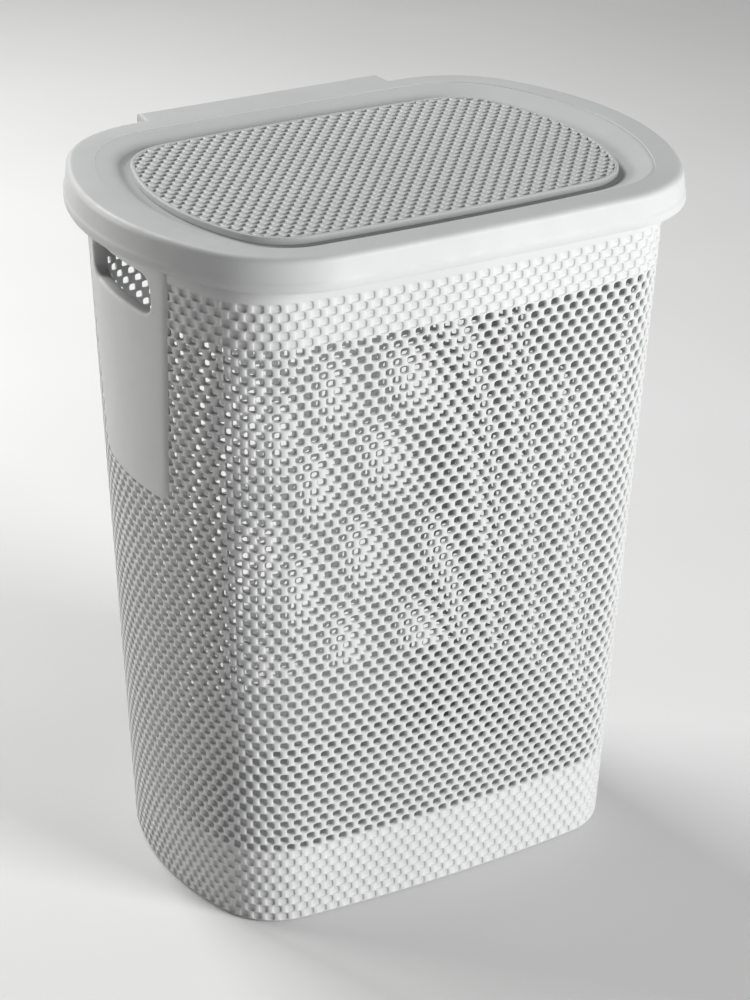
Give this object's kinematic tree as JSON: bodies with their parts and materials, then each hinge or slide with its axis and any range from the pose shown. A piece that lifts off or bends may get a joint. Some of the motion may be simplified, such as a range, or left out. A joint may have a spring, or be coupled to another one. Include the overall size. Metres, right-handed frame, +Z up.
{
  "type": "laundry hamper with hinged lid",
  "caption": "Tall tapered laundry hamper with perforated woven-pattern walls, a grip slot at each end and a hinged lid with a woven panel.",
  "frame": {"origin": "centre of the flat underside, midway along the length and the depth of the basket's floor", "axes": "+X to the right along the length, +Y towards the hinge at the rear, +Z up"},
  "size_m": [0.446, 0.337, 0.5445],
  "materials": {
    "basket_plastic": "light grey satin polypropylene with a moulded weave",
    "lid_plastic": "light grey satin polypropylene",
    "panel_plastic": "light grey satin polypropylene with a moulded weave",
    "pin_plastic": "light grey moulded pin"
  },
  "bodies": {
    "basket": {"basket": "basket_plastic", "hinge_pin_left": "pin_plastic", "hinge_pin_right": "pin_plastic"},
    "lid": {"lid_frame": "lid_plastic", "lid_panel": "panel_plastic"}
  },
  "joints": [
    {"name": "lid_hinge", "type": "hinge", "parent": "basket", "child": "lid", "pos_m": [0, 0.163, 0.528], "axis": [-1, 0, 0], "range_deg": [0, 105]}
  ]
}
